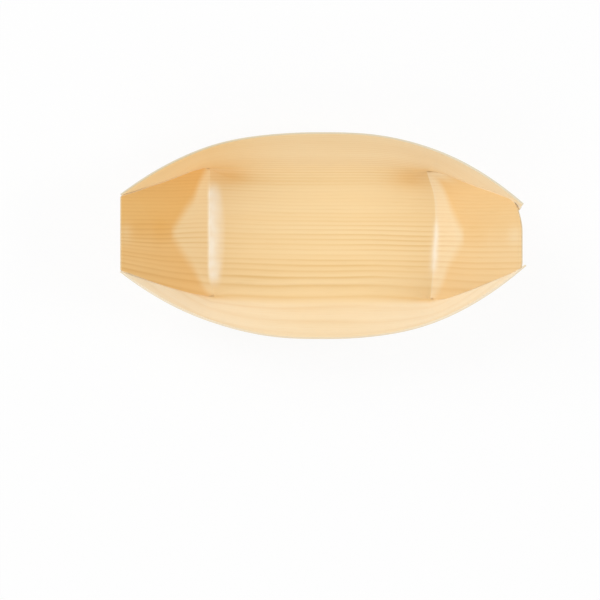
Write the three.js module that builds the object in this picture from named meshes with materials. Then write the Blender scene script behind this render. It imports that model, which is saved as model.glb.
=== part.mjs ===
// Boat-shaped food tray folded from one sheet of pine veneer.
// Millimetres. The origin is at the middle of the underside, +X runs along the tray, +Y to the rear, +Z up.
// The sheet is creased across at both ends. Each corner folds into a gusset of two plies, which lies
// behind the end panel, and at each end one gusset laps over the other and is glued to it.
import * as THREE from "three";

// Overall sizes of the folded tray
const overallLength = 90;
const overallWidth = 46;
const overallHeight = 20;

// The sheet and its folds
const veneer = 0.45;
const plyGap = 0.1; // room for glue between two plies
const glueSkin = 0.02; // clearance on each face of a glue film
const foldGap = 0.12; // clearance between two panels that meet at a fold

// The floor and the end panels
const creaseSpan = 50.4; // between the two end creases
const floorWidth = 28.6; // between the two side folds, at the creases
const tipSpan = 15.7; // between the two tips of one end, inside
const tipLip = 0.9; // blunt end of a wall tip, above the fold
const tipLean = 0.3; // the tip leans out by this much over that lip
const panelDrop = 1.1; // top edge of an end panel below the wall tips, down the slope

// The side walls
const rimHeight = 11.4; // at the middle of the tray
const rimCurve = 2.25; // power of the rim's curve in plan
const rimSheer = 2.8; // power of the rim's rise towards the tips
const bendReach = 2.2; // the soft side bend reaches this far into the floor and up the wall

// The corner gussets
const gussetAngle = THREE.MathUtils.degToRad(40); // between the end crease and a gusset's folded edge
const gussetLap = 5.6; // a gusset's corner passes the middle of the end panel by this much
const gussetStart = 2.5; // lower end of a gusset, up the slope from the crease
const gussetDrop = 1.8; // top corner of a gusset below the wall tips, down the slope
const climbMargin = 1.9; // the lapping gusset has climbed this far before the corner of the one below
const leftLift = 1.3; // the free corner of the left lap has sprung open by this much
const liftReach = 3.7; // how far from that corner the lift dies out

// The patches of glue, as shares of a gusset: up from its lower end, and across from its corner fold
const panelGlue = { up: [0.35, 0.8], across: [0.2, 0.65] };
const lapGlue = { up: [0.9, 0.97], across: [0.66, 0.76] };

// Steps of the curved grids
const middleSteps = 16;
const tipSteps = 8;
const wallRows = 8;
const gussetRows = 8;
const gussetColumns = 10;
const slopeStep = 0.01; // for measuring the slope of a wall

const halfLength = overallLength / 2;
const creaseX = creaseSpan / 2;
const foldY = floorWidth / 2;
const tipY = tipSpan / 2;
const flare = Math.atan2(overallWidth / 2 - foldY, rimHeight);
const rimY = overallWidth / 2 - veneer * Math.cos(flare);
const foldTopY = tipY - tipLean;
const endRun = halfLength - creaseX;
const endRise = overallHeight - tipLip - veneer;
const endSlope = Math.atan2(endRise, endRun);
const foldLength = Math.hypot(endRun, endRise);
const creaseMitre = veneer * Math.tan(endSlope / 2);
const gussetTop = foldLength - gussetDrop;
const cornerTop = (foldY + gussetLap) * Math.tan(gussetAngle);
const foldLean = Math.atan2(foldY - foldTopY, foldLength);
const climbRun = (halfWidthAt(cornerTop) - gussetLap) * Math.cos(foldLean) - climbMargin;
const plyPitch = veneer + plyGap;

const pine = { color: 0xf1d6a2, roughness: 0.6, metalness: 0 };
const paleGlue = { color: 0xd9b878, roughness: 0.35, metalness: 0 };

// A closed solid between two faces, each a grid of points with the same rows and columns.
function sheetSolid(innerFace, outerFace) {
  const rows = innerFace.length;
  const columns = innerFace[0].length;
  const points = [...innerFace.flat(), ...outerFace.flat()];
  const inner = (row, column) => row * columns + column;
  const outer = (row, column) => (rows + row) * columns + column;
  const index = [];
  const quad = (a, b, c, d) => index.push(a, b, c, a, c, d);
  for (let row = 1; row < rows; row++) {
    for (let column = 1; column < columns; column++) {
      quad(inner(row - 1, column - 1), inner(row, column - 1), inner(row, column), inner(row - 1, column));
      quad(outer(row - 1, column - 1), outer(row - 1, column), outer(row, column), outer(row, column - 1));
    }
    const last = columns - 1;
    quad(inner(row, 0), inner(row - 1, 0), outer(row - 1, 0), outer(row, 0));
    quad(inner(row - 1, last), inner(row, last), outer(row, last), outer(row - 1, last));
  }
  for (let column = 1; column < columns; column++) {
    const last = rows - 1;
    quad(inner(0, column - 1), inner(0, column), outer(0, column), outer(0, column - 1));
    quad(inner(last, column), inner(last, column - 1), outer(last, column - 1), outer(last, column));
  }
  if (signedVolume(points, index) < 0) index.reverse();
  const geometry = new THREE.BufferGeometry().setFromPoints(points);
  geometry.setIndex(index);
  geometry.computeVertexNormals();
  return geometry;
}

function signedVolume(points, index) {
  let volume = 0;
  for (let i = 0; i < index.length; i += 3) {
    const cross = points[index[i + 1]].clone().cross(points[index[i + 2]]);
    volume += points[index[i]].dot(cross) / 6;
  }
  return volume;
}

function namedMesh(name, geometry, finish) {
  const mesh = new THREE.Mesh(geometry, new THREE.MeshStandardMaterial(finish));
  mesh.name = name;
  return mesh;
}

function gridOf(rowValues, columnValues, pointAt) {
  return rowValues.map((row) => columnValues.map((column) => pointAt(row, column)));
}

function spread(from, to, steps) {
  return Array.from({ length: steps + 1 }, (_, i) => from + ((to - from) * i) / steps);
}

// The side bend is softest at the middle of the tray and sharpens to nothing at the end creases.
function bendAt(x) {
  return bendReach * Math.max(0, 1 - (x / creaseX) ** 2);
}

// Foot of the wall: the side fold along the floor, then the corner fold up the end panel.
function footAt(x) {
  const up = Math.max(0, (Math.abs(x) - creaseX) / endRun);
  return { y: foldY + (foldTopY - foldY) * up, z: veneer + endRise * up };
}

function rimAt(x) {
  const share = Math.abs(x) / halfLength;
  return {
    y: rimY - (rimY - tipY) * share ** rimCurve,
    z: rimHeight + (overallHeight - rimHeight) * share ** rimSheer,
  };
}

// A point on the inner face of the rear wall: round the bend first, then straight up to the rim.
function wallInner(x, share) {
  const foot = footAt(x);
  const rim = rimAt(x);
  const bend = bendAt(x);
  const height = Math.hypot(rim.y - foot.y, rim.z - foot.z);
  const along = { y: (rim.y - foot.y) / height, z: (rim.z - foot.z) / height };
  const travel = share * (height + bend);
  if (travel >= 2 * bend) {
    const up = travel - bend;
    return new THREE.Vector3(x, foot.y + along.y * up, foot.z + along.z * up);
  }
  const turn = travel / (2 * bend);
  const before = bend * (1 - turn) ** 2;
  const after = bend * turn ** 2;
  return new THREE.Vector3(x, foot.y - before + along.y * after, foot.z + along.z * after);
}

// The outer face lies one veneer away, measured square to the wall, in the same cross-section.
function wallOuter(x, share) {
  const point = wallInner(x, share);
  const lengthwise = wallInner(x + slopeStep, share).sub(wallInner(x - slopeStep, share));
  const low = wallInner(x, Math.max(0, share - slopeStep));
  const upward = wallInner(x, Math.min(1, share + slopeStep)).sub(low);
  const square = upward.clone().cross(lengthwise).normalize();
  const outward = new THREE.Vector3(0, upward.z, -upward.y).normalize();
  point.addScaledVector(outward, veneer / Math.abs(outward.dot(square)));
  point.z = Math.max(0, point.z);
  return point;
}

function sideWall(name) {
  const stations = [
    ...spread(-halfLength, -creaseX, tipSteps).slice(0, -1),
    ...spread(-creaseX, creaseX, middleSteps),
    ...spread(creaseX, halfLength, tipSteps).slice(1),
  ];
  const shares = spread(0, 1, wallRows);
  const inner = gridOf(stations, shares, wallInner);
  const outer = gridOf(stations, shares, wallOuter);
  return namedMesh(name, sheetSolid(inner, outer), pine);
}

// The floor is the flat part of the sheet, mitred at the end creases.
function floorPanel() {
  const face = (reach, z) =>
    gridOf(spread(-1, 1, middleSteps), [-1, 1], (share, side) => {
      const x = share * reach;
      return new THREE.Vector3(x, side * (foldY - bendAt(x) - foldGap), z);
    });
  const upper = face(creaseX - foldGap / 2, veneer);
  const under = face(creaseX + creaseMitre - foldGap / 2, 0);
  return namedMesh("floor_panel", sheetSolid(upper, under), pine);
}

// From here on a point of an end is given up the slope from the crease, across it, and square to it.
// Half the width between the two corner folds of an end panel
function halfWidthAt(slope) {
  return foldY + ((foldTopY - foldY) * slope) / foldLength;
}

function endPanel(name) {
  const face = (start, depth) =>
    gridOf([start, foldLength - panelDrop], [-1, 1], (slope, side) => {
      return new THREE.Vector3(slope, side * (halfWidthAt(slope) - foldGap), depth);
    });
  const inner = face(foldGap / 2, 0);
  const outer = face(foldGap / 2 - creaseMitre, -veneer);
  return namedMesh(name, sheetSolid(inner, outer), pine);
}

// A point of a gusset: up from the crease, and in from the corner fold to the gusset's own folded edge.
function gussetPoint(up, across) {
  const foldSlope = THREE.MathUtils.lerp(gussetStart, gussetTop, up);
  const edgeSlope = THREE.MathUtils.lerp(gussetStart, cornerTop, up);
  const foldSide = halfWidthAt(foldSlope) - foldGap;
  const edgeSide = foldY - edgeSlope / Math.tan(gussetAngle);
  return {
    slope: THREE.MathUtils.lerp(foldSlope, edgeSlope, across),
    side: THREE.MathUtils.lerp(foldSide, edgeSide, across),
  };
}

// How far behind the panel's inner face a ply of a gusset starts. Ply 1 lies on the panel, and ply 2 on it.
// A lapping gusset climbs over the one below it, and its free corner may have sprung open.
function plyDepth(point, ply, laps, lift) {
  const flatDepth = ply * plyPitch;
  if (!laps) return flatDepth;
  const fromFold = (halfWidthAt(point.slope) - point.side) * Math.cos(foldLean);
  const climbed = Math.min(1, fromFold / climbRun);
  const fromCorner = Math.hypot(point.slope - cornerTop, point.side + gussetLap);
  const opened = THREE.MathUtils.smoothstep(liftReach - fromCorner, 0, liftReach);
  return flatDepth + 2 * plyPitch * climbed + lift * opened;
}

function gussetPly(name, ply, gusset) {
  const { side, laps, lift } = gusset;
  const face = (backSide, foldStrip) =>
    spread(0, 1, gussetRows).map((up) => {
      const row = spread(0, 1, gussetColumns).map((across) => {
        const point = gussetPoint(up, across);
        const depth = plyDepth(point, ply, laps, lift) + backSide * veneer;
        return new THREE.Vector3(point.slope, side * point.side, -depth);
      });
      return foldStrip ? [...foldStrip(up, backSide), ...row.slice(1)] : row;
    });
  // The outer ply turns up round the edges of the panel and the inner ply, to meet the wall.
  const turnUp = (up, backSide) => {
    const fold = gussetPoint(up, 0);
    const y = side * (fold.side + plyGap + backSide * veneer);
    const depths = [plyPitch, 2 * plyPitch + backSide * veneer];
    return depths.map((depth) => new THREE.Vector3(fold.slope, y, -depth));
  };
  const strip = ply === 2 ? turnUp : null;
  return namedMesh(name, sheetSolid(face(0, strip), face(1, strip)), pine);
}

// A film of glue fills the gap in front of a gusset's inner ply, over a patch of it.
function glueFilm(name, patch, gusset) {
  const face = (clearance) =>
    gridOf(patch.up, patch.across, (up, across) => {
      const point = gussetPoint(up, across);
      const depth = plyDepth(point, 1, gusset.laps, gusset.lift) - clearance;
      return new THREE.Vector3(point.slope, gusset.side * point.side, -depth);
    });
  return namedMesh(name, sheetSolid(face(plyGap - glueSkin), face(glueSkin)), paleGlue);
}

// One end of the tray, standing up from its crease. The front gusset of the right end laps the rear one.
function rightHandEnd(end, lappingName, underName, lift) {
  const lapping = { side: -1, laps: true, lift };
  const under = { side: 1, laps: false, lift: 0 };
  const group = new THREE.Group();
  group.position.set(creaseX, 0, veneer);
  group.rotation.y = -endSlope;
  group.add(
    endPanel(`${end}_end_panel`),
    gussetPly(`${end}_${underName}_gusset_inner_ply`, 1, under),
    gussetPly(`${end}_${underName}_gusset_outer_ply`, 2, under),
    gussetPly(`${end}_${lappingName}_gusset_inner_ply`, 1, lapping),
    gussetPly(`${end}_${lappingName}_gusset_outer_ply`, 2, lapping),
    glueFilm(`${end}_panel_glue`, panelGlue, under),
    glueFilm(`${end}_lap_glue`, lapGlue, lapping),
  );
  return group;
}

const tray = new THREE.Group();
tray.name = "food_tray";
const frontWall = sideWall("front_side_wall");
frontWall.rotation.z = Math.PI;
const leftEnd = new THREE.Group();
leftEnd.rotation.z = Math.PI;
leftEnd.add(rightHandEnd("left", "rear", "front", leftLift));
tray.add(
  floorPanel(),
  sideWall("rear_side_wall"),
  frontWall,
  rightHandEnd("right", "front", "rear", 0),
  leftEnd,
);

export default tray;
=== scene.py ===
import math
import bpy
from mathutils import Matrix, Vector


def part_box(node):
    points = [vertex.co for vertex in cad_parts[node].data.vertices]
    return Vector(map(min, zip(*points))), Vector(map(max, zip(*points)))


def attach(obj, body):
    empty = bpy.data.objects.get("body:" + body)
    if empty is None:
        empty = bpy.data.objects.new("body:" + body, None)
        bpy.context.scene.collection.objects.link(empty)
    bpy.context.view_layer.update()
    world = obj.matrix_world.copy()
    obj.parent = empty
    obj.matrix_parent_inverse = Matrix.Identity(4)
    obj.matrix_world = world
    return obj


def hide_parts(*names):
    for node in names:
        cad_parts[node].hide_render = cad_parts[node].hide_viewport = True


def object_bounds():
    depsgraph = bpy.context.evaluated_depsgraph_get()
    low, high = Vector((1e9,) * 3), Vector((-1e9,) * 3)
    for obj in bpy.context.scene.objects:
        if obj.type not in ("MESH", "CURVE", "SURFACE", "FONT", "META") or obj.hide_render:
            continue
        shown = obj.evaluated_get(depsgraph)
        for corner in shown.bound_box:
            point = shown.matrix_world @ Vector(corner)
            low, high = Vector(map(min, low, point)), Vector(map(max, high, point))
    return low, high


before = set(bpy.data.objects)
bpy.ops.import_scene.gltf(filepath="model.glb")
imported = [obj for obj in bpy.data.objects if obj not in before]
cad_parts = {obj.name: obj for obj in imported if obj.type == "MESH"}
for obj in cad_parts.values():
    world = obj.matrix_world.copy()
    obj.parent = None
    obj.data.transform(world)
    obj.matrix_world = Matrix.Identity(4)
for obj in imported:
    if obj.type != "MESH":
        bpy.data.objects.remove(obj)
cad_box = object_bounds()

from types import SimpleNamespace

import bpy
from mathutils import Vector, noise

# Floor panel: the middle of the tray's one sheet of pine veneer, sliced about half a millimetre thick with
# the grain running along the tray. It lies flat on the table. The sheet is wetted and bent round it on all
# four sides, so the floor runs on into the walls and the ends with no joint.
mm = 0.001
tray_high = cad_box[1]
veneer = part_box("floor_panel")[1].z
fold_y = 14.3 * mm
bend_reach = 3.2 * mm
bend_fade = 5
least_bend = 0.02 * mm
floor_columns = 150
floor_rows = 72
upper_face = -1
smooth_angle = math.radians(40)
pale_wood = (0.935, 0.715, 0.405, 1)
warm_band = (0.905, 0.655, 0.335, 1)
ring_wood = (0.73, 0.45, 0.145, 1)
shade_tint = (0.915, 0.66, 0.28, 1)
# Colour of creases and folds: partly whitened fibres, partly painted highlight. It also gives painted light
# on back faces.
creased_and_highlit_wood = (1.0, 0.905, 0.745, 1)
# Paler colour for painted light that comes through the thin wood.
lit_through_wood = (0.99, 0.90, 0.715, 1)
fresh_cut = ((0.82, 0.66, 0.43, 1), (0.78, 0.61, 0.37, 1), (0.70, 0.50, 0.26, 1))
# A darker, greyer copy of the cut-edge colours: painted shade on the rear wall's rim.
shaded_cut = ((0.66, 0.58, 0.40, 1), (0.63, 0.54, 0.35, 1), (0.58, 0.45, 0.24, 1))


def ease(value):
    """0 below 0, 1 above 1, and a smooth rise between."""
    held = max(0.0, min(1.0, value))
    return held * held * (3 - 2 * held)


def tray_end(name, crease_x, end_x, lip, fold_top_y, tip_y, panel_drop, gusset_angle, shade):
    """The measures of one raised end. The two ends of a hand-folded tray differ a little."""
    run = end_x - crease_x
    rise = tray_high.z - lip - veneer
    slope = math.atan2(rise, run)
    return SimpleNamespace(
        name=name,
        crease_x=crease_x,
        fold_top_y=fold_top_y,
        tip_y=tip_y,
        panel_drop=panel_drop,
        gusset_angle=math.radians(gusset_angle),
        shade=shade,
        slope=slope,
        length=math.hypot(run, rise),
        uphill=Vector((math.cos(slope), 0, math.sin(slope))),
        behind=Vector((math.sin(slope), 0, -math.cos(slope))),
    )


right = tray_end(
    name="right",
    crease_x=24.3 * mm,
    end_x=44.5 * mm,
    lip=0.4 * mm,
    fold_top_y=6.8 * mm,
    tip_y=5.85 * mm,
    panel_drop=1.1 * mm,
    gusset_angle=37,
    shade=0.6,
)
left = tray_end(
    name="left",
    crease_x=25.2 * mm,
    end_x=44.3 * mm,
    lip=0.9 * mm,
    fold_top_y=7.9 * mm,
    tip_y=7.8 * mm,
    panel_drop=0.05 * mm,
    gusset_angle=42,
    shade=1.0,
)
right.floor_reach = 0.7 * mm
right.panel_reach = 1.5 * mm
right.bow = 1.3 * mm
right.sway = -0.25 * mm
left.floor_reach = 3.0 * mm
left.panel_reach = 0.4 * mm
left.bow = 0.0
left.sway = 0.4 * mm
ends = {1: right, -1: left}


def near_corner(point, corner_x, corner_y):
    """1 at a corner of the floor, falling away round it."""
    reach_x = 4 * mm
    reach_y = 3.5 * mm
    reach_z = 6 * mm
    off_corner = ((point.x - corner_x) / reach_x) ** 2 + ((point.y - corner_y) / reach_y) ** 2
    return math.exp(-off_corner) * (1 - ease(point.z / reach_z))


def out_of_true(point):
    """How far a hand-folded tray is off its true shape: the floor and the ends lie a little to the front
    or the rear, and the left front and right rear corners of the floor are drawn in."""
    floor_offset = 0.5 * mm
    offset_height = 11 * mm
    sway_from = 8 * mm
    sway_run = 18 * mm
    left_front_draw = 0.9 * mm
    right_rear_draw = 0.8 * mm
    end = ends[1 if point.x > 0 else -1]
    to_rear = floor_offset * (1 - ease(point.z / offset_height))
    to_rear += end.sway * ease((abs(point.x) - sway_from) / sway_run)
    drawn_in = left_front_draw * near_corner(point, -left.crease_x, -fold_y)
    drawn_in -= right_rear_draw * near_corner(point, right.crease_x, fold_y)
    return Vector((drawn_in, to_rear, 0))


def bend_at(x):
    """How far the soft side bend reaches on each side of the floor's long edge."""
    end = ends[1 if x > 0 else -1]
    return max(least_bend, bend_reach * (1 - abs(x / end.crease_x) ** bend_fade))


def crease_point(end, y, travel):
    """Run and rise of the sheet's upper face at an end crease, a distance up the sheet from the crease."""
    bow_skew = 0.4
    bow_run = 9 * mm
    width = max(0.0, 1 - (y / fold_y) ** 2)
    before = max(least_bend, end.floor_reach * width)
    after = max(least_bend, end.panel_reach * width)
    turn = min(1.0, max(0.0, (travel + before) / (before + after)))
    run = -before * (1 - turn) ** 2 + after * end.uphill.x * turn ** 2
    rise = after * end.uphill.z * turn ** 2
    if travel < -before:
        run, rise = travel, 0.0
    if travel > after:
        run, rise = travel * end.uphill.x, travel * end.uphill.z
    bow = end.bow * width * (1 + bow_skew * y / fold_y)
    return run + bow * ease(1 - abs(travel) / bow_run), rise


def crease_white_and_highlight(end, y, travel):
    """How far an end crease is painted whiter: partly its bent fibres, which are whitened, and partly a
    painted highlight on the round of the crease. y is measured to the rear. The left crease is white over
    most of its width and on into the floor, and the right one in a narrow streak."""
    mottle_size = 1.6 * mm
    mottle = 0.9 + 0.3 * noise.noise(Vector((travel, y, 0)) / mottle_size)
    if end is left:
        rear_limit = 12.2 * mm
        front_limit = -12.8 * mm
        width = max(0.0, 1 - (y / fold_y) ** 2)
        reach = 3.8 * mm * width ** 0.4 + least_bend
        fade = ease((rear_limit - y) / (4 * mm)) * ease((y - front_limit) / (3.5 * mm))
        return mottle * fade * ease((travel + reach) / (0.75 * reach)) * ease(1 - travel / (1.2 * mm))
    streak_middle = -2.6 * mm
    streak_half = 5.5 * mm
    streak_rise = 0.2 * mm
    streak = math.exp(-((y - streak_middle) / streak_half) ** 4)
    spread = 0.75 * mm - 0.03 * y
    return mottle * streak * math.exp(-((travel - streak_rise) / spread) ** 2)


def folded_sheet(name, columns, rows, fold):
    """A grid of flat veneer with each point carried to where fold puts it. fold also gives the point's
    place on the flat sheet, and its tone: how far it is darkened, mostly as painted shade where plies lie
    behind it; how far it is whitened at a crease or fold, partly as a painted highlight; and how far it
    gets painted light that comes through the thin wood."""
    bpy.ops.object.select_all(action="DESELECT")
    bpy.ops.mesh.primitive_grid_add(x_subdivisions=columns, y_subdivisions=rows, size=2)
    sheet = bpy.context.object
    sheet.name = name
    sheet.data.name = name
    flat = sheet.data.attributes.new("flat", "FLOAT_VECTOR", "POINT")
    tone = sheet.data.attributes.new("tone", "FLOAT_VECTOR", "POINT")
    for vertex in sheet.data.vertices:
        point, spot, tones = fold((vertex.co.x + 1) / 2, (vertex.co.y + 1) / 2)
        vertex.co = point
        vertex.co += out_of_true(vertex.co)
        flat.data[vertex.index].vector = (spot[0] / mm, spot[1] / mm, 0)
        tone.data[vertex.index].vector = tones
    return sheet


def thicken(sheet, offset, thickness, painted_back_light=0.0):
    """Gives a folded sheet its thickness, with the cut edges in the second material. The modelled face
    becomes the upper or the middle one. The new back face is only paler, by painted light."""
    front_count = len(sheet.data.vertices)
    bpy.ops.object.select_all(action="DESELECT")
    sheet.select_set(True)
    bpy.context.view_layer.objects.active = sheet
    solidify = sheet.modifiers.new("veneer", "SOLIDIFY")
    solidify.thickness = thickness
    solidify.offset = offset
    solidify.use_quality_normals = True
    solidify.material_offset_rim = 1
    bpy.ops.object.modifier_apply(modifier="veneer")
    tone = sheet.data.attributes["tone"]
    for vertex in sheet.data.vertices:
        vertex.co.z = max(0.0, vertex.co.z)
        if vertex.index >= front_count:
            tone.data[vertex.index].vector = (0, painted_back_light, 0)
    bpy.ops.object.shade_smooth_by_angle(angle=smooth_angle)


def pine_veneer(name, pale, warm, ringed):
    """Sliced pine: rings that widen across the sheet, fine fibres along it, and a slight sheen."""
    material = bpy.data.materials.new(name)
    material.use_nodes = True
    nodes = material.node_tree.nodes
    links = material.node_tree.links
    shader = nodes["Principled BSDF"]
    shader.inputs["Specular IOR Level"].default_value = 0.4

    def node(kind, **settings):
        """A new node with its settings."""
        made = nodes.new(kind)
        for key, value in settings.items():
            setattr(made, key, value)
        return made

    def feed(value, socket):
        """Links another node's output to a socket, or sets a plain value there."""
        if isinstance(value, bpy.types.NodeSocket):
            links.new(value, socket)
        else:
            socket.default_value = value

    def sums(operation, *values):
        """One step of arithmetic."""
        made = node("ShaderNodeMath", operation=operation)
        for value, socket in zip(values, made.inputs):
            feed(value, socket)
        return made.outputs[0]

    def streaks(along, across, detail, seed):
        """Cloudy streaks drawn out along the grain. along and across count them per millimetre."""
        place = node("ShaderNodeCombineXYZ")
        feed(sums("MULTIPLY", grain_u, along), place.inputs[0])
        feed(sums("MULTIPLY", grain_v, across), place.inputs[1])
        place.inputs[2].default_value = seed
        cloud = node("ShaderNodeTexNoise", noise_dimensions="3D")
        cloud.inputs["Scale"].default_value = 1.0
        cloud.inputs["Detail"].default_value = detail
        links.new(place.outputs[0], cloud.inputs["Vector"])
        return cloud.outputs["Fac"]

    def ranged(value, low, high, to_low, to_high):
        """A value carried from one range to another, and held at its ends."""
        made = node("ShaderNodeMapRange", clamp=True)
        for part, socket in zip((value, low, high, to_low, to_high), made.inputs):
            feed(part, socket)
        return made.outputs[0]

    def graded(value, *stops):
        """A level read from a ramp of stops, each with its position and level."""
        made = node("ShaderNodeValToRGB")
        elements = made.color_ramp.elements
        elements[0].position, elements[1].position = stops[0][0], stops[-1][0]
        elements[0].color = (stops[0][1], stops[0][1], stops[0][1], 1)
        elements[1].color = (stops[-1][1], stops[-1][1], stops[-1][1], 1)
        for position, level in stops[1:-1]:
            elements.new(position).color = (level, level, level, 1)
        links.new(value, made.inputs[0])
        return made.outputs["Color"]

    def blended(factor, first, second):
        """A mix of two colours."""
        made = node("ShaderNodeMix", data_type="RGBA")
        feed(factor, made.inputs[0])
        feed(first, made.inputs[6])
        feed(second, made.inputs[7])
        return made.outputs[2]

    flat = node("ShaderNodeAttribute", attribute_name="flat")
    spot = node("ShaderNodeSeparateXYZ")
    links.new(flat.outputs["Vector"], spot.inputs[0])
    grain_u, grain_v = spot.outputs[0], spot.outputs[1]
    tone = node("ShaderNodeAttribute", attribute_name="tone")
    tones = node("ShaderNodeSeparateXYZ")
    links.new(tone.outputs["Vector"], tones.inputs[0])
    shaded, whitened_and_highlit, lit_through = tones.outputs[0], tones.outputs[1], tones.outputs[2]

    # The rings are counted across the sheet, in millimetres to the rear of its middle. They are wide along
    # the front, and past each of three places a share more rings come in every 2 mm.
    wide_rings = 0.2
    drift = sums("MULTIPLY", streaks(along=0.016, across=0.06, detail=2.0, seed=3.1), 2.4)
    rings = sums("ADD", sums("MULTIPLY", grain_v, wide_rings), drift)
    for closer_from, more_rings in ((-15.5, 0.36), (-9.5, 1.0), (4.0, 0.9)):
        growth = sums("EXPONENT", sums("MULTIPLY", sums("SUBTRACT", grain_v, closer_from), 0.5))
        steps = sums("LOGARITHM", sums("ADD", growth, 1.0), math.e)
        rings = sums("ADD", rings, sums("MULTIPLY", steps, more_rings))
    ring_line = graded(sums("FRACT", rings), (0.0, 0.2), (0.16, 0.0), (0.5, 0.22), (0.82, 1.0), (1.0, 0.2))
    each_ring = node("ShaderNodeTexWhiteNoise", noise_dimensions="1D")
    links.new(sums("FLOOR", rings), each_ring.inputs["W"])
    ring_weight = ranged(each_ring.outputs["Value"], 0.0, 1.0, 0.55, 1.0)
    across_sheet = ranged(grain_v, -28.0, 28.0, 0.0, 1.0)
    ring_depth = graded(across_sheet, (0.0, 0.25), (0.2, 0.42), (0.27, 0.85), (0.5, 0.6), (0.57, 0.34),
                        (0.66, 0.26), (0.71, 0.46), (0.81, 0.46), (0.9, 0.2), (1.0, 0.12))
    ring_fade = ranged(streaks(along=0.035, across=0.13, detail=1.0, seed=33.3), 0.32, 0.68, 0.45, 1.15)
    ring_fade = sums("MULTIPLY", ring_fade, ranged(grain_u, 22.0, 28.0, 1.0, 0.6))
    ring_strength = sums("MULTIPLY", ring_weight, sums("MULTIPLY", ring_depth, ring_fade))
    ring_share = sums("MULTIPLY", ring_line, ring_strength)

    fibres = streaks(along=0.07, across=5.5, detail=4.0, seed=7.7)
    flecks = ranged(streaks(along=0.22, across=4.2, detail=2.0, seed=12.3), 0.58, 0.74, 0.0, 0.14)
    bands = ranged(streaks(along=0.012, across=0.22, detail=2.0, seed=21.9), 0.3, 0.7, 0.0, 1.0)
    wood = blended(bands, pale, warm)
    # Painted light that comes through the thin wood.
    wood = blended(sums("MULTIPLY", lit_through, 0.9), wood, lit_through_wood)
    wood = blended(ring_share, wood, ringed)
    wood = blended(flecks, wood, ringed)
    wood = blended(ranged(fibres, 0.3, 0.7, 0.0, 0.2), wood, warm)
    # Painted shade and darkening, towards a deeper orange.
    darkened = node("ShaderNodeMix", data_type="RGBA", blend_type="MULTIPLY")
    links.new(shaded, darkened.inputs[0])
    links.new(wood, darkened.inputs[6])
    darkened.inputs[7].default_value = shade_tint
    wood = darkened.outputs[2]
    # Whitening: partly whitened fibres, partly painted highlight at creases and folds, and painted light on
    # back faces.
    wood = blended(whitened_and_highlit, wood, creased_and_highlit_wood)
    links.new(wood, shader.inputs["Base Color"])
    links.new(ranged(fibres, 0.3, 0.7, 0.38, 0.54), shader.inputs["Roughness"])
    bump = node("ShaderNodeBump")
    bump.inputs["Strength"].default_value = 0.35
    bump.inputs["Distance"].default_value = 0.03 * mm
    relief = sums("ADD", sums("MULTIPLY", fibres, 0.6), sums("MULTIPLY", ring_line, 0.4))
    links.new(relief, bump.inputs["Height"])
    links.new(bump.outputs["Normal"], shader.inputs["Normal"])
    return material


pine = pine_veneer("pine_veneer", pale_wood, warm_band, ring_wood)
cut_pine = pine_veneer("pine_cut_edge", *fresh_cut)
cut_pine_in_shade = pine_veneer("pine_greyed_edge", *shaded_cut)


def finish_veneer(piece, node_name):
    """The calls that every piece of the sheet gets."""
    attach(piece, "root")
    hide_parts(node_name)


def corner_shade(travel, y):
    """Soft shade where the sheet bends up both ways, at a rear corner of the floor."""
    off_x = (travel + 4.5 * mm) / (4.8 * mm)
    off_y = (y - 13.0 * mm) / (2.6 * mm)
    return 0.42 * math.exp(-off_x ** 2 - off_y ** 2)


def fold_floor(along, up):
    """Floor: flat, but for the start of the two end creases."""
    across = 2 * up - 1
    flat_x = -left.crease_x + (left.crease_x + right.crease_x) * along
    side = 1 if flat_x > 0 else -1
    end = ends[side]
    travel = abs(flat_x) - end.crease_x
    run, rise = crease_point(end, across * fold_y, travel)
    y = across * (fold_y - bend_at(flat_x))
    point = (side * (end.crease_x + run), y, veneer + rise)
    return point, (flat_x, y), (corner_shade(travel, y), crease_white_and_highlight(end, y, travel), 0)


floor_panel = folded_sheet("veneer_floor", floor_columns, floor_rows, fold_floor)
floor_panel.data.materials.append(pine)
floor_panel.data.materials.append(cut_pine)
thicken(floor_panel, upper_face, veneer)
finish_veneer(floor_panel, "floor_panel")

# Side walls: the two long flaps of the same sheet, bent up softly along the floor and flared outwards.
# Beyond the creases each one fans round its floor corner to a point. There it is bent once more, and runs
# on behind the raised end as the gusset, which is glued.
rim_sheer = 2.8
rim_height = 11.4 * mm
rim_margin = 0.02 * mm
flare = math.atan2(tray_high.y - fold_y, rim_height)
rim_y = tray_high.y - veneer * math.cos(flare) - rim_margin
right.rim_curve = {1: 2.55, -1: 2.42}  # rear wall, front wall
left.rim_curve = {1: 2.42, -1: 2.42}
right.tips = {1: (43.9 * mm, tray_high.z - 0.2 * mm), -1: (44.55 * mm, 18.85 * mm)}
left.tips = {1: (44.3 * mm, 18.9 * mm), -1: (44.4 * mm, 18.9 * mm)}
right.fold_drops = {True: 2.6 * mm, False: 2.0 * mm}  # lapping gusset, lower gusset
left.fold_drops = {True: 2.0 * mm, False: 3.0 * mm}
right.fold_depths = {True: (1.9 * mm, 0.5 * mm), False: (0.9 * mm, 0.6 * mm)}
left.fold_depths = {True: (1.3 * mm, 0.55 * mm), False: (0.9 * mm, 0.7 * mm)}
right.curl_in = {True: 0.3 * mm, False: 1.3 * mm}
left.curl_in = {True: 0.0, False: 0.0}
right.top_bend = {True: 1.0, False: 0.2}
left.top_bend = {True: 0.3, False: 1.2}
corner_bend = 0.6 * mm
fan_columns = 60
straight_columns = 120
wall_columns = 2 * fan_columns + straight_columns
bend_rows = 20
flap_rows = 26
wall_rows = bend_rows + flap_rows
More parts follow.
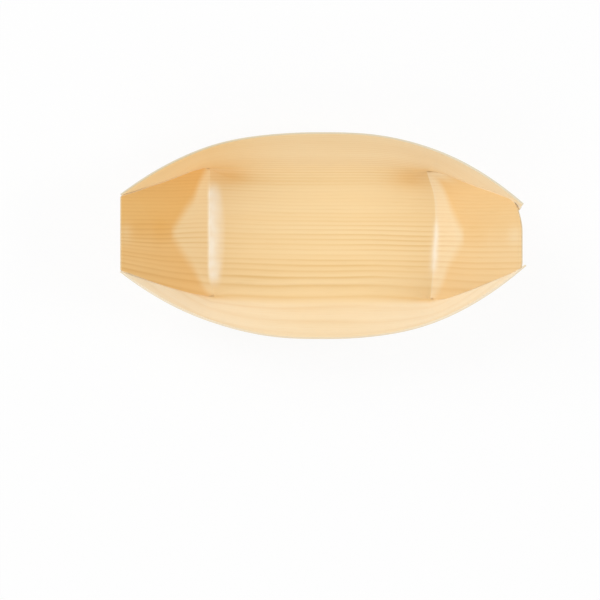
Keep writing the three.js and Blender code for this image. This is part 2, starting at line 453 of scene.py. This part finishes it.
# Painted light through the thin walls: more on the front wall, and more or less towards each end.
wall_painted_light = {1: 0.28, -1: 0.56}  # rear wall, front wall
wall_end_painted_light = {(1, 1): 0.3, (1, -1): -0.2, (-1, 1): 0.5, (-1, -1): 0.45}  # by wall and end
# Painted light that makes the walls' outer faces paler.
wall_painted_back_light = 0.3


def half_width_at(end, slope, lapping):
    """From an end's middle to its corner fold, a distance up its slope from the crease. At the top the
    fold may curl in round the panel's corner."""
    curl_height = 5 * mm
    curl_run = 4 * mm
    straight = fold_y + (end.fold_top_y - fold_y) * slope / end.length
    return straight - end.curl_in[lapping] * ease((slope - end.length + curl_height) / curl_run)


def fold_lean(end):
    """How far the corner folds lean towards each other going up."""
    return math.atan2(fold_y - end.fold_top_y, end.length)


def gusset_top(end, lapping):
    """Where a corner fold ends, below the tip."""
    return end.length - end.fold_drops[lapping]


def rim_at(end, facing, x):
    """Upper edge of a wall's inner face, towards one end. facing is 1 for the rear wall, else -1."""
    tip_x, tip_z = end.tips[facing]
    y = rim_y - (rim_y - end.tip_y) * (x / tray_high.x) ** end.rim_curve[facing]
    return Vector((x, y, rim_height + (tip_z - rim_height) * (x / tip_x) ** rim_sheer))


def floor_corner(end):
    """Corner where the crease, the side bend and the corner fold meet."""
    return Vector((end.crease_x, fold_y, veneer))


def settled_depth(end, slope, depth):
    """A depth behind an end, drawn in near the floor corner, where it would reach below the floor."""
    room = 0.94 * slope * math.tan(end.slope)
    return room * depth / (room ** 4 + depth ** 4) ** 0.25


def fold_depth(end, slope, lapping):
    """How far behind an end a wall's corner fold lies. A gusset that laps the other needs more room."""
    depth_run = 22 * mm
    at_floor, at_top = end.fold_depths[lapping]
    below_top = max(0.0, 1 - slope / depth_run)
    return settled_depth(end, slope, at_top + (at_floor - at_top) * below_top ** 1.3)


def corner_fold(end, slope, lapping):
    """Point on the fold between a wall and the gusset behind an end."""
    base = Vector((end.crease_x, half_width_at(end, slope, lapping), veneer))
    return base + slope * end.uphill + fold_depth(end, slope, lapping) * end.behind


def corner_reach(end, slope, lapping):
    """How far the soft bend of a corner fold reaches. It is sharp at the floor corner."""
    top_run = 6 * mm
    sharp_run = 2.5 * mm
    top_bend = end.top_bend[lapping]
    softness = top_bend + (1 - top_bend) * ease((gusset_top(end, lapping) - slope) / top_run)
    return max(least_bend, corner_bend * ease(slope / sharp_run) * softness)


def fanned_from_upright(end, facing, point):
    """How far a point beyond the crease has turned round the floor corner, from straight above it."""
    corner = floor_corner(end)
    return (rim_at(end, facing, end.crease_x) - corner).angle(point - corner)


def bent_strip(fold_start, inward, rim, reach, up):
    """Point up one line of a wall, round the soft bend and on to the rim, and its share of the way."""
    length = (rim - fold_start).length
    along = (rim - fold_start) / length
    bend_part = bend_rows / wall_rows
    if up < bend_part:
        turn = up / bend_part
        travel = reach * (2 * turn - 1)
        return fold_start + inward * reach * (1 - turn) ** 2 + along * reach * turn ** 2, travel / length
    travel = reach + (length - reach) * (up - bend_part) / (1 - bend_part)
    return fold_start + along * travel, travel / length


def folding_wall(facing):
    """Fold of a wall. facing is 1 for the rear wall and -1 for the front one, its mirror image."""
    fan_part = fan_columns / wall_columns
    straight_part = 1 - 2 * fan_part
    fan_spread = 1.5
    fold_white_and_lightness = 0.85
    white_reach = 1.2 * mm
    white_run = 3 * mm
    left_rear_shade = 0.1
    glow_rise = 4

    def fold(along, up):
        middle = facing * (2 * along - 1)
        side = 1 if middle > 0 else -1
        end = ends[side]
        lapping = facing * side < 0
        past = (abs(middle) - straight_part) / (2 * fan_part)
        if past <= 0:
            share_x = (middle / straight_part + 1) / 2
            x = -left.crease_x + (left.crease_x + right.crease_x) * share_x
            rim = rim_at(ends[1 if x > 0 else -1], facing, abs(x))
            rim.x = x
            foot = Vector((x, fold_y, veneer))
            point, share = bent_strip(foot, Vector((0, -1, 0)), rim, bend_at(x), up)
            fold_white_and_light = 0.0
            spot = Vector((x, fold_y + share * (rim - foot).length))
        else:
            slope = gusset_top(end, lapping) * past ** fan_spread
            rim = rim_at(end, facing, end.crease_x + (end.tips[facing][0] - end.crease_x) * past)
            foot = corner_fold(end, slope, lapping)
            lean = fold_lean(end)
            inward = -math.sin(lean) * end.uphill - Vector((0, math.cos(lean), 0))
            point, share = bent_strip(foot, inward, rim, corner_reach(end, slope, lapping), up)
            from_fold = share * (rim - foot).length
            # Whiter up the wall's foot at the corner fold: partly whitened fibres, partly painted light
            # against the crevice's shade.
            fold_white_and_light = fold_white_and_lightness * ease(1 - from_fold / white_reach) * ease(slope / white_run)
            turned = math.pi / 2 - fanned_from_upright(end, facing, rim)
            fold_end = corner_fold(end, gusset_top(end, lapping), lapping)
            laid = math.pi / 2 - fanned_from_upright(end, facing, fold_end)
            flat_rim = Vector((math.cos(turned), math.sin(turned))) * (rim - floor_corner(end)).length
            flat_foot = Vector((math.cos(laid), math.sin(laid))) * slope
            flat = flat_foot + (flat_rim - flat_foot) * share
            spot = Vector((side * (end.crease_x + flat.x), fold_y + flat.y))
            point.x *= side
        point.y *= facing
        spot.y *= facing
        # Painted light through the wall, rising from its foot, and painted shade at the rear corners and
        # towards the left end of the rear wall.
        lit = wall_painted_light[facing] + wall_end_painted_light[facing, side] * min(1.0, (point.x / end.crease_x) ** 2)
        shading = corner_shade(abs(spot.x) - end.crease_x, spot.y)
        if facing > 0:
            shading += left_rear_shade * ease((-point.x - 5 * mm) / (20 * mm))
        return point, spot, (shading, fold_white_and_light, lit * ease(share * glow_rise))
    return fold


def soften_wall(sheet):
    """Smooths the straight part of a wall, where the flat flap and the fan run into each other."""
    row = wall_columns + 1
    bpy.ops.object.mode_set(mode="EDIT")
    bpy.ops.mesh.select_mode(type="VERT")
    bpy.ops.mesh.select_all(action="DESELECT")
    bpy.ops.object.mode_set(mode="OBJECT")
    for vertex in sheet.data.vertices:
        up, along = divmod(vertex.index, row)
        vertex.select = bend_rows < up < wall_rows and 0 < along < wall_columns
    bpy.ops.object.mode_set(mode="EDIT")
    bpy.ops.mesh.vertices_smooth(factor=0.5, repeat=30)
    bpy.ops.object.mode_set(mode="OBJECT")


# The rear wall's cut edge is given the cut colours in painted shade.
for facing, wall_name, cut_edge in ((1, "rear", cut_pine_in_shade), (-1, "front", cut_pine)):
    wall = folded_sheet(f"veneer_{wall_name}_wall", wall_columns, wall_rows, folding_wall(facing))
    soften_wall(wall)
    wall.data.materials.append(pine)
    wall.data.materials.append(cut_edge)
    thicken(wall, upper_face, veneer, wall_painted_back_light)
    finish_veneer(wall, f"{wall_name}_side_wall")

# End panels: the two short ends of the sheet, turned up along the creases by nearly half a right angle.
# Each side edge is folded back on itself into the gusset behind, so it is a round edge and not a cut one.
# Where gussets lie behind it the thin wood shows darker, painted as shade, since less light comes through
# there.
panel_rows = 90
panel_columns = 110
curl_columns = 6
crease_rows = 12
right.rounding = {True: (0.6 * mm, 0.72), False: (2.05 * mm, 0.15)}  # lapping side, lower side
left.rounding = {True: (0.05 * mm, 0.72), False: (0.05 * mm, 0.72)}
# Painted light through the single-ply parts of each end panel, where no gusset lies behind.
right.glow = 0.45
left.glow = 0.1
gusset_lap = 5.6 * mm
edge_inset = 2.5 * mm
soft_edge = 3.2 * mm
shade_margin = 0.5 * mm
ply_gap = 0.04 * mm
ply_thickness = 0.28 * mm
ply_pitch = ply_thickness + ply_gap
nose_radius = 0.18 * mm


def corner_top(end):
    """How far up the slope a gusset's free corner lies."""
    return (fold_y - edge_inset + gusset_lap) * math.tan(end.gusset_angle)


def gusset_edge(end, slope):
    """Width at which a gusset's folded edge lies. Stiff veneer leaves the floor corner in a curve."""
    inset_run = 6 * mm
    return fold_y - edge_inset * ease(slope / inset_run) - slope / math.tan(end.gusset_angle)


def nose_reach(end, slope, lapping):
    """How far a panel's folded side edge stands out past the fold line, to touch the wall beside it."""
    start_run = 2 * mm
    least_reach = 0.05 * mm
    halfway = ease((slope - start_run) / (4 * mm)) * ease((end.length - slope - start_run) / (7 * mm))
    out_per_depth = 0.56 + 0.24 * halfway
    return (out_per_depth * fold_depth(end, slope, lapping) + least_reach) * ease(slope / start_run)


def gusset_cover(end, slope, y, lapping, margin):
    """How far a gusset lies behind this spot of the panel, from 0 to 1, with soft edges that start a
    margin outside its own. y is measured towards its own corner."""
    from_fold = (y - gusset_edge(end, slope)) * math.sin(end.gusset_angle)
    edge_run = half_width_at(end, gusset_top(end, lapping), lapping) + gusset_lap
    edge_rise = gusset_top(end, lapping) - corner_top(end)
    from_cut = (corner_top(end) - slope) * edge_run + (y + gusset_lap) * edge_rise
    from_cut /= math.hypot(edge_run, edge_rise)
    return ease((from_fold + margin) / soft_edge) * ease((from_cut + margin) / soft_edge)


def panel_shade(end, slope, y):
    """Painted shade on an end panel where plies lie behind it and let less light through the thin wood, and
    a darkening towards its tip. It is weaker at the front, round a light spot near the tip, and low down
    along the right panel's rear edge."""
    gusset_shade = 0.8
    lap_shade = 0.06
    darkness = 0.78
    darkness_height = 14 * mm
    darkness_run = 4 * mm
    front_light = 0.25
    spot_light = 0.5
    spot_drop = 3 * mm if end is right else 1.2 * mm
    wobble = slope + 0.35 * mm * noise.noise(Vector((slope, y, 0)) / (5 * mm))
    cover = gusset_cover(end, wobble, y, False, shade_margin)
    cover += gusset_cover(end, wobble, -y, True, shade_margin)
    plies = gusset_shade * min(1, cover) + lap_shade * max(0, cover - 1)
    tip_darkness = darkness * ease((slope - end.length + darkness_height) / darkness_run)
    off_spot = ((slope - end.length + spot_drop) / (2 * mm)) ** 2 + (y / (2.2 * mm)) ** 2
    to_front = -y if end is right else y
    evenness = 1 - front_light * ease((to_front + 3 * mm) / (6 * mm))
    if end is right and y > 0:
        from_fold = (half_width_at(end, slope, False) - y + 0.3 * mm) / (2 * mm)
        evenness *= 1 - (1 - ease(from_fold)) * (1 - ease((slope - 2 * mm) / (7 * mm)))
    return end.shade * evenness * max(plies, tip_darkness) * (1 - spot_light * math.exp(-off_spot))


def end_point(side, slope, y, depth):
    """Point of an end, up its slope from the crease and a depth behind its upper face."""
    end = ends[side]
    run, rise = crease_point(end, y, slope)
    point = Vector((end.crease_x + run, y, veneer + rise)) + depth * end.behind
    return Vector((side * point.x, side * point.y, point.z))


def folding_panel(side):
    """The fold of one end panel, made as the right one and turned round for the left."""
    end = ends[side]
    crease_part = crease_rows / panel_rows
    flat_part = 1 - 2 * curl_columns / panel_columns
    curl_run = 2.5 * mm
    fold_white_and_lightness = 0.7
    white_run = 3 * mm
    grain_spread = 0.75

    def fold(along, up):
        across = 2 * up - 1
        rounding, round_from = end.rounding[across < 0]
        rounded = max(0.0, (abs(across) - round_from) / (1 - round_from)) ** 2
        top = end.length - end.panel_drop - rounding * rounded
        if along < crease_part:
            slope = end.panel_reach * along / crease_part
        else:
            slope = end.panel_reach + (top - end.panel_reach) * (along - crease_part) / (1 - crease_part)
        edge = half_width_at(end, slope, across < 0) + nose_reach(end, slope, across < 0)
        curl = max(least_bend, nose_radius * ease(slope / curl_run))
        fold_white_and_light = 0.0
        if abs(across) <= flat_part:
            y, depth = across / flat_part * (edge - curl), 0.0
        else:
            turn = (abs(across) - flat_part) / (1 - flat_part) * math.pi / 2
            y = math.copysign(edge - curl + curl * math.sin(turn), across)
            depth = curl * (1 - math.cos(turn))
            # Whiter round the curled side edge: partly whitened fibres, partly painted light against the
            # crevice's shade.
            fold_white_and_light = fold_white_and_lightness * math.sin(turn) * ease(slope / white_run)
        point = end_point(side, slope, y, depth)
        grain_y = side * y
        if end is left and grain_y < 0:
            grain_y *= 1 + grain_spread * (fold_y / half_width_at(end, slope, False) - 1)
        # Painted shade, whitening that is partly a painted highlight, and painted light through the
        # single-ply parts.
        shading = panel_shade(end, slope, y)
        whitening = max(fold_white_and_light, crease_white_and_highlight(end, side * y, slope))
        lit = (1 - shading) * end.glow
        return point, (side * (end.crease_x + slope), grain_y), (shading, whitening, lit)
    return fold


for end_side in (1, -1):
    end_name = ends[end_side].name
    panel = folded_sheet(f"veneer_{end_name}_end", panel_rows, panel_columns, folding_panel(end_side))
    panel.data.materials.append(pine)
    panel.data.materials.append(cut_pine)
    thicken(panel, upper_face, veneer)
    finish_veneer(panel, f"{end_name}_end_panel")

# Gussets: the four corners of the sheet, each folded once along its middle into two plies. The inner ply
# hangs from the end panel's side edge and the outer ply from the side wall. One gusset of each end laps
# the other, and at the left end the lapping one has sprung open along its folded edge.
gusset_start = 1.2 * mm
inner_ply_drop = {True: 6.5 * mm, False: 1.9 * mm}  # lapping gusset, lower gusset
inner_ply_shade = 0.8
# Painted light that makes the outer plies' back faces paler.
ply_painted_back_light = {"inner": 0.0, "outer": 0.3}
nose_share = 0.15
climb_run = 3.2 * mm
lift_height = 1.3 * mm
lift_run = 6.4 * mm
ply_rows = 40
ply_columns = 48
round_columns = 5
round_radius = ply_pitch / 2
middle_face = 0


def gusset_spot(end, outer, lapping, up, across):
    """Slope and width of a gusset's place on an end. across runs from the corner fold to the folded
    edge."""
    top = gusset_top(end, lapping) - (0 if outer else inner_ply_drop[lapping])
    start = gusset_start + (top - gusset_start) * up
    finish = gusset_start + (corner_top(end) - gusset_start) * up
    inset = nose_radius - nose_share * nose_reach(end, start, lapping)
    if outer:
        inset = corner_reach(end, start, lapping) * math.cos(fold_lean(end))
    first = Vector((start, half_width_at(end, start, lapping) - inset))
    last = Vector((finish, gusset_edge(end, finish)))
    return first + (last - first) * across


def ply_depth(end, spot, outer, lapping):
    """How far behind the panel a ply lies. It goes from its side fold to its place against the panel or,
    in a lapping gusset, over the two plies of the other one."""
    from_fold = (half_width_at(end, spot.x, lapping) - spot.y) * math.cos(fold_lean(end))
    panel_back = veneer + ply_gap
    at_fold = fold_depth(end, spot.x, lapping) if outer else panel_back
    plies_below = 1 if outer else 0
    if lapping:
        plies_below += 2 * gusset_cover(end, spot.x, -spot.y, False, soft_edge)
    in_pile = panel_back + plies_below * ply_pitch
    return settled_depth(end, spot.x, at_fold + (in_pile - at_fold) * ease(from_fold / climb_run))


def sprung_open(end, spot, up):
    """How far the outer ply of a sprung gusset bulges off the inner one. Its cut edge stays closed."""
    lift_rise = 0.3 * mm
    lift_width = 8 * mm
    lift_fade = 6 * mm
    off_middle = (spot.x - corner_top(end) - lift_rise) / lift_run
    bulge = lift_height * max(0.0, 1 - off_middle ** 2) * ease((lift_width - spot.y) / lift_fade)
    closing = max(0.0, (up - 0.82) / 0.18)
    return bulge * math.sqrt(max(0.0, 1 - closing ** 2))


def folding_ply(side, corner_side, outer, sprung):
    """Middle face of one ply. corner_side 1 is the lower gusset of an end, and -1 the lapping one."""
    end = ends[side]
    lapping = corner_side < 0
    fold_end = corner_fold(end, gusset_top(end, lapping), lapping)
    laid = math.pi / 2 - fanned_from_upright(end, side * corner_side, fold_end)
    flat_first = 0 if outer else round_columns / ply_columns
    flat_last = 1 - round_columns / ply_columns
    outwards = Vector((-math.cos(end.gusset_angle), -math.sin(end.gusset_angle)))

    def fold(along, up):
        across = max(0.0, min(1.0, (along - flat_first) / (flat_last - flat_first)))
        spot = gusset_spot(end, outer, lapping, up, across)
        bulge = sprung_open(end, spot, up) if sprung else 0.0
        parted = ply_depth(end, spot, True, lapping) - ply_depth(end, spot, False, lapping) + bulge
        depth = ply_depth(end, spot, outer, lapping) + ply_thickness / 2
        depth += bulge if outer else 0.0
        if along < flat_first:
            turn = (1 - along / flat_first) * math.pi / 2
            spot.y += round_radius * math.sin(turn)
            depth -= round_radius * (1 - math.cos(turn))
        if along > flat_last:
            turn = (along - flat_last) / (1 - flat_last) * math.pi / 2
            spot = spot + outwards * parted / 2 * math.sin(turn)
            depth += (-1 if outer else 1) * parted / 2 * (1 - math.cos(turn))
        from_corner = Vector((spot.x, spot.y - fold_y))
        fanned = math.atan2(from_corner.x, -from_corner.y) - math.pi / 2 + fold_lean(end)
        grain = laid + fanned if outer else -fold_lean(end) - fanned
        flat = Vector((math.cos(grain), math.sin(grain))) * from_corner.length
        point = end_point(side, spot.x, spot.y * corner_side, depth)
        # Painted shade: the hidden inner plies are darker, and the sprung gusset is darker and orange along
        # its folded edge and near its free corner, for the shaded gap inside it.
        shading = 0.0 if outer else inner_ply_shade
        if sprung:
            at_fold = ease((along - flat_last + 0.1) / 0.1)
            at_free_corner = ease((up - 0.68) / 0.25) * ease((across - 0.3) / 0.5)
            shading = max(shading, at_fold, at_free_corner)
        flat_spot = (side * (end.crease_x + flat.x), side * corner_side * (fold_y + flat.y))
        return point, flat_spot, (shading, 0, 0)
    return fold


for end_side in (1, -1):
    for corner_side in (1, -1):
        place = "rear" if end_side * corner_side > 0 else "front"
        sprung = end_side < 0 and corner_side < 0
        for ply in ("inner", "outer"):
            node_name = f"{ends[end_side].name}_{place}_gusset_{ply}_ply"
            ply_fold = folding_ply(end_side, corner_side, ply == "outer", sprung)
            gusset = folded_sheet(f"veneer_{node_name}", ply_columns, ply_rows, ply_fold)
            gusset.data.materials.append(pine)
            gusset.data.materials.append(cut_pine)
            thicken(gusset, middle_face, ply_thickness, ply_painted_back_light[ply])
            finish_veneer(gusset, node_name)

# Glue: a thin film of set glue holds each lower gusset to its end panel, and the lapping gusset to the
# lower one. It is dabbed on between the plies and pressed out to a round patch.
film_steps = 16
film_thickness = 0.04 * mm
panel_film_depth = veneer + ply_gap / 2
lap_film_depth = panel_film_depth + 2 * ply_pitch
dark_glue = (0.62, 0.42, 0.17, 1)
pale_glue = (0.76, 0.57, 0.28, 1)
set_glue = bpy.data.materials.new("set_glue")
set_glue.use_nodes = True
glue_nodes = set_glue.node_tree.nodes
glue_links = set_glue.node_tree.links
glue_shader = glue_nodes["Principled BSDF"]
glue_place = glue_nodes.new("ShaderNodeTexCoord")
glue_cloud = glue_nodes.new("ShaderNodeTexNoise")
glue_cloud.inputs["Scale"].default_value = 700.0
glue_tint = glue_nodes.new("ShaderNodeValToRGB")
glue_tint.color_ramp.elements[0].color = dark_glue
glue_tint.color_ramp.elements[1].color = pale_glue
glue_gloss = glue_nodes.new("ShaderNodeMapRange")
glue_gloss.inputs["To Min"].default_value = 0.2
glue_gloss.inputs["To Max"].default_value = 0.4
glue_links.new(glue_place.outputs["Object"], glue_cloud.inputs["Vector"])
glue_links.new(glue_cloud.outputs["Fac"], glue_tint.inputs[0])
glue_links.new(glue_cloud.outputs["Fac"], glue_gloss.inputs["Value"])
glue_links.new(glue_tint.outputs["Color"], glue_shader.inputs["Base Color"])
glue_links.new(glue_gloss.outputs[0], glue_shader.inputs["Roughness"])


def folding_film(side, corner_side, up_range, across_range, depth):
    """Round patch of glue on a gusset's inner ply."""
    end = ends[side]

    def fold(along, up):
        a, b = 2 * along - 1, 2 * up - 1
        round_a = a * math.sqrt(1 - b * b / 2)
        round_b = b * math.sqrt(1 - a * a / 2)
        across = across_range[0] + (across_range[1] - across_range[0]) * (round_a + 1) / 2
        place = up_range[0] + (up_range[1] - up_range[0]) * (round_b + 1) / 2
        spot = gusset_spot(end, False, corner_side < 0, place, across)
        return end_point(side, spot.x, spot.y * corner_side, depth), (0, 0), (0, 0, 0)
    return fold


for end_side in (1, -1):
    for film_name, corner_side, up_range, across_range, depth in (
        ("panel", 1, (0.35, 0.80), (0.20, 0.65), panel_film_depth),
        ("lap", -1, (0.90, 0.97), (0.66, 0.76), lap_film_depth),
    ):
        node_name = f"{ends[end_side].name}_{film_name}_glue"
        film_fold = folding_film(end_side, corner_side, up_range, across_range, depth)
        film = folded_sheet(f"set_{node_name}", film_steps, film_steps, film_fold)
        film.data.materials.append(set_glue)
        thicken(film, middle_face, film_thickness)
        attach(film, "root")
        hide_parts(node_name)

# Table and studio: a plain white table, a large soft light at the rear left, two smaller ones at the front
# and the right, and a camera that looks straight down on the tray.
table_size = 4
table_drop = 0.05 * mm
table_lift = 0.88
table_grey = (0.92, 0.92, 0.92, 1)
plain_white = (1, 1, 1, 1)
studio_light = 0.57
studio_seen = 1.0
camera_lens = 232
camera_place = (-5.0 * mm, -14.3 * mm, 0.87)
bpy.ops.object.select_all(action="DESELECT")
bpy.ops.mesh.primitive_plane_add(size=table_size, location=(0, 0, -table_drop))
table = bpy.context.object
table.name = "table"
white = bpy.data.materials.new("white_table")
white.use_nodes = True
white_nodes = white.node_tree.nodes
white_links = white.node_tree.links
white_shader = white_nodes["Principled BSDF"]
white_shader.inputs["Base Color"].default_value = table_grey
white_shader.inputs["Roughness"].default_value = 0.9
white_shader.inputs["Specular IOR Level"].default_value = 0.0
white_glow = white_nodes.new("ShaderNodeEmission")
white_glow.inputs["Color"].default_value = plain_white


def seen_rays(node_tree):
    """1 for the rays that show the background: seen by the camera, mirrored, or through something clear."""
    path = node_tree.nodes.new("ShaderNodeLightPath")
    mirrored = node_tree.nodes.new("ShaderNodeMath")
    cleared = node_tree.nodes.new("ShaderNodeMath")
    cleared.use_clamp = True
    node_tree.links.new(path.outputs["Is Camera Ray"], mirrored.inputs[0])
    node_tree.links.new(path.outputs["Is Glossy Ray"], mirrored.inputs[1])
    node_tree.links.new(mirrored.outputs[0], cleared.inputs[0])
    node_tree.links.new(path.outputs["Is Transmission Ray"], cleared.inputs[1])
    return cleared.outputs[0]


lift_share = white_nodes.new("ShaderNodeMath")
lift_share.operation = "MULTIPLY"
lift_share.inputs[1].default_value = table_lift
white_mix = white_nodes.new("ShaderNodeMixShader")
white_links.new(seen_rays(white.node_tree), lift_share.inputs[0])
white_links.new(lift_share.outputs[0], white_mix.inputs[0])
white_links.new(white_shader.outputs[0], white_mix.inputs[1])
white_links.new(white_glow.outputs[0], white_mix.inputs[2])
white_links.new(white_mix.outputs[0], white_nodes["Material Output"].inputs["Surface"])
table.data.materials.append(white)

world = bpy.data.worlds.new("studio")
bpy.context.scene.world = world
world.use_nodes = True
world_nodes = world.node_tree.nodes
backdrop = world_nodes["Background"]
backdrop.inputs["Color"].default_value = plain_white
world_level = world_nodes.new("ShaderNodeMapRange")
world_level.inputs["To Min"].default_value = studio_light
world_level.inputs["To Max"].default_value = studio_seen
world.node_tree.links.new(seen_rays(world.node_tree), world_level.inputs["Value"])
world.node_tree.links.new(world_level.outputs[0], backdrop.inputs["Strength"])

for lamp_name, lamp_place, lamp_size, lamp_power in (
    ("rear_left_softbox", (-0.45, 0.42, 0.45), 0.45, 2.2),
    ("front_softbox", (-0.16, -0.56, 0.40), 0.40, 1.0),
    ("right_softbox", (0.52, 0.02, 0.40), 0.25, 0.95),
):
    lamp = bpy.data.lights.new(lamp_name, "AREA")
    lamp.size = lamp_size
    lamp.energy = lamp_power
    lamp_object = bpy.data.objects.new(lamp_name, lamp)
    bpy.context.scene.collection.objects.link(lamp_object)
    lamp_object.location = lamp_place
    lamp_object.rotation_euler = (-Vector(lamp_place)).to_track_quat("-Z", "Y").to_euler()

camera = bpy.data.cameras.new("camera")
camera.lens = camera_lens
camera_object = bpy.data.objects.new("camera", camera)
bpy.context.scene.collection.objects.link(camera_object)
camera_object.location = camera_place
bpy.context.scene.camera = camera_object
bpy.context.scene.view_settings.view_transform = "Standard"
